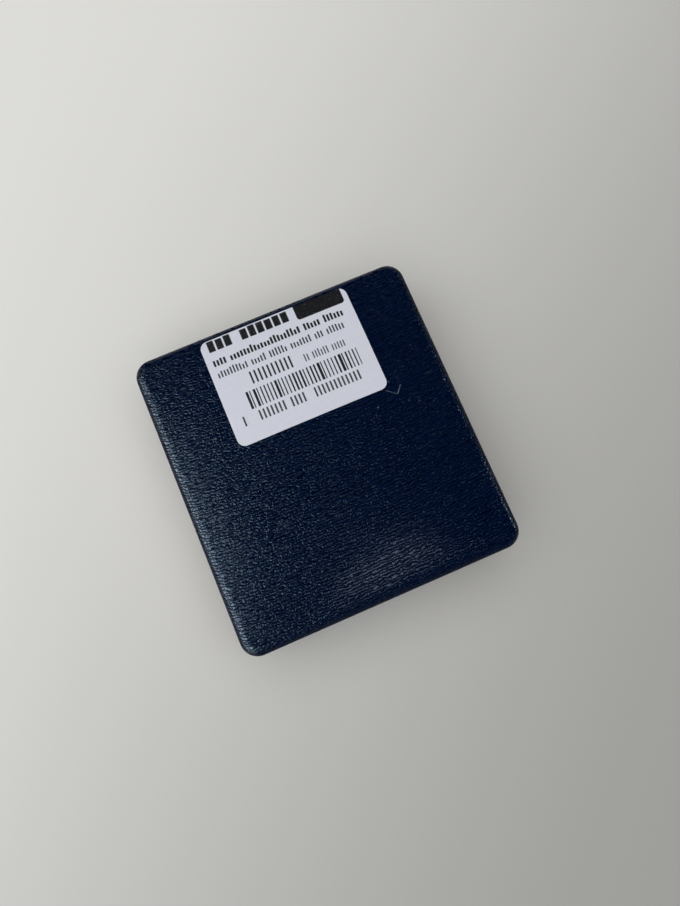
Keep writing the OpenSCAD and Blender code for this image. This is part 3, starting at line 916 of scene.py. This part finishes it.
def remeshed(bm, voxel):
    """A mesh of even small quads with the shape of a closed bmesh."""
    mesh = bpy.data.meshes.new("remesh")
    bm.to_mesh(mesh)
    bm.free()
    block = bpy.data.objects.new("remesh", mesh)
    bpy.context.scene.collection.objects.link(block)
    modifier = block.modifiers.new("even", "REMESH")
    modifier.mode, modifier.voxel_size = "VOXEL", voxel
    done = bpy.data.meshes.new_from_object(block.evaluated_get(bpy.context.evaluated_depsgraph_get()))
    bpy.data.objects.remove(block)
    return done


# ---------------------------------------------------------------- sticker


def sticker_sheet():
    """The sticker, which follows the crowned lid and bends over its back edge."""
    size = bpy.context.scene.coin_case.label
    middle = (LABEL_LOW + LABEL_HIGH) / 2
    half = (LABEL_HIGH - LABEL_LOW) / 2
    bm = bmesh.new()
    verts = flat_face(bm, (middle.x, middle.y, 0), half.x, half.y)
    rounded(bm, verts, size.corner_r, 8, "VERTICES")
    edge = HALF_D - 2.3 * MM  # the lid's rounded back edge starts a little behind it
    wide_pitch, fine_pitch = 2 * MM, 0.22 * MM
    cut(bm, evenly(LABEL_LOW.x, LABEL_HIGH.x, wide_pitch))
    cut(bm, (), [*evenly(LABEL_LOW.y, edge, wide_pitch), edge])
    cut(bm, (), evenly(edge, LABEL_HIGH.y, fine_pitch))
    for v in bm.verts:
        v.co.z = lid_surface(v.co.x, v.co.y) + size.paper_t + curl(v.co, middle, half, size)
    made = bmesh.ops.extrude_face_region(bm, geom=bm.faces[:])["geom"]
    sunk = 1.4  # the paper's underside lies just inside the leatherette
    for v in only_verts(made):
        v.co.z -= size.paper_t * sunk
    bmesh.ops.recalc_face_normals(bm, faces=bm.faces)
    return finish_piece("sticker", bm, "label_paper", "lid", ["label"], 50)


def curl(co, middle, half, size):
    """How far the paper has come up at its two front corners."""
    over_x = max(0.0, (abs(co.x - middle.x) - half.x + size.curl_w) / size.curl_w)
    over_y = max(0.0, (middle.y - half.y + size.curl_w - co.y) / size.curl_w)
    return size.curl_h * (over_x * over_y) ** 1.5


# ---------------------------------------------------------------- hinge


def box_part(bm, low, high, bevel):
    """A small plate with eased edges."""
    made = bmesh.ops.create_cube(bm, size=1.0)["verts"]
    low, high = Vector(low), Vector(high)
    bmesh.ops.scale(bm, vec=high - low, verts=made)
    bmesh.ops.translate(bm, vec=(low + high) / 2, verts=made)
    rounded(bm, once(e for v in made for e in v.link_edges), bevel, 2)


def leaf(name, side, own, bore_r, body, node):
    """Brass leaf with rolled knuckles and a hook for the spring plate."""
    size = bpy.context.scene.coin_case.hinge
    plate_y = LEAF_LOW.y + size.hook_out
    half = size.barrel_w / 2

    def plate(half_w, near, far, y0, y1, bevel):
        zs = sorted((PARTING + side * near, PARTING + side * far))
        box_part(bm, (-half_w, y0, zs[0]), (half_w, y1, zs[1]), bevel)

    bm = bmesh.new()
    plate(half, size.leaf_near, size.leaf_far, plate_y, plate_y + size.sheet_t, 0.08 * MM)
    hook_near, hook_back = size.grip_h - size.sheet_t, plate_y + size.sheet_t / 2
    plate(size.hook_w / 2, hook_near, size.grip_h, LEAF_LOW.y, hook_back, 0.05 * MM)
    pitch = size.barrel_w / size.knuckles
    for k in own:
        left = -half + k * pitch + size.knuckle_gap / 2
        knuckle(bm, left, left + pitch - size.knuckle_gap, bore_r, side, size)
    bmesh.ops.recalc_face_normals(bm, faces=bm.faces)
    return finish_piece(name, bm, "hinge_brass", body, [node])


def knuckle(bm, left, right, bore_r, side, size):
    """One knuckle: the leaf's sheet rolled round the pin."""
    inner = HINGE_Y - bore_r
    outer = HINGE_Y - size.barrel_r
    foot = side * (size.leaf_near + 0.1 * MM)
    middle = ((left + right) / 2, (inner + outer) / 2, PARTING + foot)
    verts = flat_face(bm, middle, (right - left) / 2, (inner - outer) / 2)
    face = once(f for v in verts for f in v.link_faces)
    done = bmesh.ops.extrude_face_region(bm, geom=face)["geom"]
    bmesh.ops.translate(bm, vec=(0, 0, -foot), verts=only_verts(done))
    bmesh.ops.spin(
        bm,
        geom=[g for g in done if isinstance(g, bmesh.types.BMFace)],
        cent=(0, HINGE_Y, PARTING),
        axis=(-side, 0, 0),
        angle=-math.radians(285),
        steps=22,
        use_duplicate=False,
    )


def turned(bm, section, spot, axis, steps):
    """Adds a solid turned from (radius, along) places round an axis through spot."""
    before = set(bm.verts)
    verts = [bm.verts.new((r, 0, a)) for r, a in section]
    edges = [bm.edges.new(pair) for pair in zip(verts, verts[1:])]
    bmesh.ops.spin(
        bm,
        geom=verts + edges,
        cent=(0, 0, 0),
        axis=(0, 0, 1),
        angle=math.tau,
        steps=steps,
        use_merge=True,
        use_duplicate=False,
    )
    turn = Vector((0, 0, 1)).rotation_difference(Vector(axis)).to_matrix().to_4x4()
    made = [v for v in bm.verts if v not in before]
    bmesh.ops.transform(bm, matrix=Matrix.Translation(spot) @ turn, verts=made)


def rivets(name, side, body, node):
    """Two rivets with domed heads on the leaf."""
    size = bpy.context.scene.coin_case.hinge
    plate_y = LEAF_LOW.y + size.hook_out
    wall = 0.5 * MM  # how much of the case's back the rivets leave whole
    back = HALF_D - wall - plate_y
    shank_r, ease, brim = size.rivet_r, 0.05 * MM, 0.04 * MM
    head = [(size.head_r * c, brim + (size.head_h - brim) * s) for c, s in arc(1.0, 7, 0, 90)]
    section = [(0.0, -back), (shank_r - ease, -back), (shank_r, -back + ease), (shank_r, 0.0)]
    section += [(size.head_r, 0.0), *head[:-1], (0.0, size.head_h)]
    bm = bmesh.new()
    for x in (-size.rivet_x, size.rivet_x):
        turned(bm, section, (x, plate_y, PARTING + side * size.rivet_h), (0, -1, 0), 28)
    bmesh.ops.remove_doubles(bm, verts=bm.verts, dist=1e-7)
    bmesh.ops.recalc_face_normals(bm, faces=bm.faces)
    return finish_piece(name, bm, "steel", body, [node])


def pin():
    """Pin with peened, slightly domed ends."""
    size = bpy.context.scene.coin_case.hinge
    half = size.barrel_w / 2
    dome = [(size.pin_r * c, half + 0.22 * MM * s) for c, s in arc(1.0, 5, 0, 90)]
    section = [(0.0, -dome[-1][1]), *[(r, -a) for r, a in dome[-2::-1]], *dome[:-1], (0.0, dome[-1][1])]
    bm = bmesh.new()
    turned(bm, section, (0, HINGE_Y, PARTING), (1, 0, 0), 24)
    bmesh.ops.remove_doubles(bm, verts=bm.verts, dist=1e-7)
    bmesh.ops.recalc_face_normals(bm, faces=bm.faces)
    return finish_piece("pin", bm, "steel", "base", ["hinge_pin"])


def spring():
    """Arched spring plate that grips both hooks."""
    size = bpy.context.scene.coin_case.hinge
    foot_y = LEAF_LOW.y
    arch_r = (size.grip_h**2 + size.spring_rise**2) / (2 * size.spring_rise)
    centre_y = foot_y - size.spring_rise + arch_r
    half_angle = math.asin(size.grip_h / arch_r)
    bm = bmesh.new()
    middle = (0, centre_y - arch_r - size.spring_t / 2, PARTING)
    verts = flat_face(bm, middle, size.spring_w / 2, size.spring_t / 2, 6)
    about = {"cent": (0, centre_y, PARTING), "matrix": Matrix.Rotation(half_angle, 3, "X")}
    bmesh.ops.rotate(bm, verts=verts, **about)
    bmesh.ops.spin(
        bm,
        geom=bm.faces[:],
        cent=(0, centre_y, PARTING),
        axis=(1, 0, 0),
        angle=-2 * half_angle,
        steps=36,
        use_duplicate=False,
    )
    lip_end = foot_y + size.hook_out - 0.1 * MM
    for side in (-1, 1):
        zs = sorted((PARTING + side * size.grip_h, PARTING + side * (size.grip_h + size.spring_t)))
        low = (-size.spring_w / 2, foot_y - size.spring_t, zs[0])
        high = (size.spring_w / 2, lip_end, zs[1])
        box_part(bm, low, high, 0.04 * MM)
    bmesh.ops.recalc_face_normals(bm, faces=bm.faces)
    piece = finish_piece("spring_plate", bm, "spring_steel", None, ["hinge_spring"])
    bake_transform(piece)
    return piece


# ---------------------------------------------------------------- operators


class CoversOperator(bpy.types.Operator):
    """Makes the leatherette covers of the base and the lid"""

    bl_idname = "coin_case.covers"
    bl_label = "Leatherette covers"

    def execute(self, context):
        size = context.scene.coin_case.covers
        half_cover("lid_leatherette", 1, lid_edge_h(), size.lid_edge_r, size.crown, "lid", "lid_cover")
        half_cover("base_leatherette", -1, BASE_H, size.base_edge_r, 0.0, "base", "base_cover")
        return {"FINISHED"}


class RimsOperator(bpy.types.Operator):
    """Makes the gilt strips on the edges of both halves"""

    bl_idname = "coin_case.rims"
    bl_label = "Gilt rims"

    def execute(self, context):
        half_rim("lid_gilt_rim", 1, "lid", "lid_rim")
        half_rim("base_gilt_rim", -1, "base", "base_rim")
        return {"FINISHED"}


class InsertOperator(bpy.types.Operator):
    """Makes the velvet over the platform, the recess's wall and its floor"""

    bl_idname = "coin_case.insert"
    bl_label = "Velvet insert"

    def execute(self, context):
        radius = context.scene.coin_case.lining.velvet_edge
        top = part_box("insert_velvet")[1].z
        softened_copy("velvet_platform", "insert_velvet", "velvet", "base", radius, at_height(top))
        never = at_height(-1.0)
        softened_copy("velvet_recess_wall", "recess_wall", "velvet", "base", radius, never)
        softened_copy("velvet_recess_floor", "recess_lining", "velvet", "base", radius, never)
        return {"FINISHED"}


class PadOperator(bpy.types.Operator):
    """Makes the padded satin lining of the lid"""

    bl_idname = "coin_case.pad"
    bl_label = "Satin pad"

    def execute(self, context):
        satin_pad()
        return {"FINISHED"}


class StickerOperator(bpy.types.Operator):
    """Makes the sticker on the lid"""

    bl_idname = "coin_case.sticker"
    bl_label = "Sticker"

    def execute(self, context):
        sticker_sheet()
        return {"FINISHED"}


class HingeOperator(bpy.types.Operator):
    """Makes the leaves, pin, rivets and spring plate of the hinge"""

    bl_idname = "coin_case.hinge"
    bl_label = "Snap hinge"

    def execute(self, context):
        size = context.scene.coin_case.hinge
        play = 0.05 * MM
        evens, odds = range(0, size.knuckles, 2), range(1, size.knuckles, 2)
        leaf("base_leaf", -1, evens, size.pin_r, "base", "hinge_base_leaf")
        leaf("lid_leaf", 1, odds, size.pin_r + play, "lid", "hinge_lid_leaf")
        rivets("base_rivets", -1, "base", "hinge_base_rivets")
        rivets("lid_rivets", 1, "lid", "hinge_lid_rivets")
        pin()
        spring()
        return {"FINISHED"}


class InnerOperator(bpy.types.Operator):
    """Gives the moulded shells and the card pieces their materials"""

    bl_idname = "coin_case.inner"
    bl_label = "Shells and card"

    def execute(self, context):
        nodes = {
            "shell_plastic": ("base_shell", "lid_shell"),
            "card": ("insert_support", "insert_board", "recess_floor", "lid_pad_board"),
        }
        for slot, names in nodes.items():
            for name in names:
                node = frame["nodes"][name]
                node.data.materials.clear()
                node.data.materials.append(finishes()[slot])
        return {"FINISHED"}


class StageOperator(bpy.types.Operator):
    """Makes the floor, the lamps, the world and the camera"""

    bl_idname = "coin_case.stage"
    bl_label = "Stage"

    def execute(self, context):
        make_floor()
        make_lamps()
        make_world()
        make_camera()
        context.scene.view_settings.view_transform = "Standard"
        return {"FINISHED"}


def make_floor():
    """A pale floor with painted shade that darkens its colour towards the front and the right."""
    look = bpy.context.scene.coin_case.finish
    f = Finish("pale_floor", look.floor)
    x, y, _ = f.axes()
    # painted shade: the floor's colour falls to 0.45 of itself towards the front right
    shade = tuple(c * 0.45 for c in look.floor)
    tint = f.mix((x * 0.58 - y * 0.81).ramp(-140, 130), look.floor, shade)
    material = f.done(f.shader(Base_Color=tint, Roughness=0.7, Specular_IOR_Level=0.2))
    bm = bmesh.new()
    bmesh.ops.create_circle(bm, cap_ends=True, radius=0.9, segments=96)
    mesh = bpy.data.meshes.new("floor")
    bm.to_mesh(mesh)
    bm.free()
    mesh.materials.append(material)
    floor = bpy.data.objects.new("floor", mesh)
    bpy.context.scene.collection.objects.link(floor)


# Lamps: place in metres, width and depth in metres, watts, colour, and whether a lamp is
# there for reflections or for the even light
LAMPS = {
    "window_top": ((-0.49, -0.09, 1.13), 1.5, 0.20, 2.4, (0.82, 0.94, 1.0), True),
    "window": ((-0.73, -0.15, 1.02), 1.5, 0.38, 23.0, (0.84, 0.94, 1.0), True),
    "window_foot": ((-1.13, -0.24, 0.50), 1.7, 0.60, 37.0, (0.95, 0.96, 1.0), True),
    "ceiling": ((0.085, -0.315, 1.15), 0.26, 0.11, 0.55, (1.0, 0.90, 0.97), True),
    "corner": ((0.98, -0.16, 0.31), 0.14, 0.20, 3.0, (0.9, 0.97, 1.0), True),
    "fill": ((-0.14, -0.06, 1.25), 2.6, 2.6, 27.0, (1.0, 0.99, 0.98), False),
}


def make_lamps():
    """Places the lamps, all facing the case."""
    for name, (spot, wide, deep, watts, tint, mirrored) in LAMPS.items():
        data = bpy.data.lights.new(name, "AREA")
        data.shape, data.size, data.size_y = "RECTANGLE", wide, deep
        data.energy, data.color = watts, tint
        lamp = bpy.data.objects.new(name, data)
        lamp.visible_glossy, lamp.visible_diffuse = mirrored, not mirrored
        lamp.location = spot
        lamp.rotation_euler = (-Vector(spot)).to_track_quat("-Z", "Y").to_euler()
        bpy.context.scene.collection.objects.link(lamp)


# Tone that the camera sees behind the floor. Reflections and the light show the room instead.
BACKDROP = 0.56


def make_world():
    """A soft room, pale round the horizon and dark overhead, behind a plain backdrop."""
    world = bpy.data.worlds.new("room")
    world.use_nodes = True
    tree = world.node_tree
    tree.nodes.clear()
    place = {0: add_node(tree, "ShaderNodeTexCoord", output="Generated")}
    across, ahead, up = (add_node(tree, "ShaderNodeSeparateXYZ", None, place, axis) for axis in "XYZ")
    lit_side = (ahead * 0.2 - across * 0.9).ramp(0.1, 0.8) * 0.6
    walls = 1 - up.ramp(0.35, 0.75)
    horizon = (1 - up.ramp(0.06, 0.22)) * ((ahead - across * 0.9).ramp(-0.6, 0.6) * 0.85 + 0.15)
    level = horizon.larger(lit_side * walls) * 0.70 + 0.002
    seen = add_node(tree, "ShaderNodeLightPath")
    level = level + (BACKDROP - level) * seen
    sky = add_node(tree, "ShaderNodeBackground", None, {"Color": (0.98, 0.99, 1.0), "Strength": level})
    out = tree.nodes.new("ShaderNodeOutputWorld")
    tree.links.new(sky.socket, out.inputs["Surface"])
    bpy.context.scene.world = world


# The camera as fitted to the photograph: place in metres, its axes and its focal length
CAMERA_SPOT = (-0.005696, -0.018415, 0.155063)
CAMERA_RIGHT = (0.91952, -0.39291, 0.00958)
CAMERA_UP = (0.38799, 0.91136, 0.13745)
FOCAL_PX = 630.0
LONG_SIDE_PX = 906.0
SENSOR_MM = 36.0


def make_camera():
    """The fitted camera."""
    data = bpy.data.cameras.new("camera")
    data.sensor_fit, data.sensor_width = "AUTO", SENSOR_MM
    data.lens = FOCAL_PX / LONG_SIDE_PX * SENSOR_MM
    data.clip_start, data.clip_end = 0.005, 50.0
    camera = bpy.data.objects.new("camera", data)
    right, up = Vector(CAMERA_RIGHT).normalized(), Vector(CAMERA_UP)
    back = right.cross(up).normalized()
    up = back.cross(right)
    turn = Matrix((right, up, back)).transposed().to_4x4()
    camera.matrix_world = Matrix.Translation(CAMERA_SPOT) @ turn
    bpy.context.scene.collection.objects.link(camera)
    bpy.context.scene.camera = camera


STEPS = (
    StageOperator,
    CoversOperator,
    RimsOperator,
    StickerOperator,
    InsertOperator,
    PadOperator,
    HingeOperator,
    InnerOperator,
)


class CasePanel(bpy.types.Panel):
    """Lists the coin case's operators"""

    bl_idname = "VIEW3D_PT_coin_case"
    bl_label = "Coin Case"
    bl_space_type = "VIEW_3D"
    bl_region_type = "UI"
    bl_category = "Coin Case"

    def draw(self, context):
        for step in STEPS:
            self.layout.operator(step.bl_idname)


CLASSES = (CoverSizes, LiningSizes, LabelSizes, HingeSizes, Finishes, CaseSettings, *STEPS, CasePanel)


def register():
    for made in CLASSES:
        bpy.utils.register_class(made)
    bpy.types.Scene.coin_case = bpy.props.PointerProperty(type=CaseSettings)


def unregister():
    del bpy.types.Scene.coin_case
    for made in reversed(CLASSES):
        bpy.utils.unregister_class(made)


def main():
    register()
    for step in STEPS:
        group, name = step.bl_idname.split(".")
        getattr(getattr(bpy.ops, group), name)()
    bpy.context.view_layer.update()


if __name__ == "__main__":
    main()
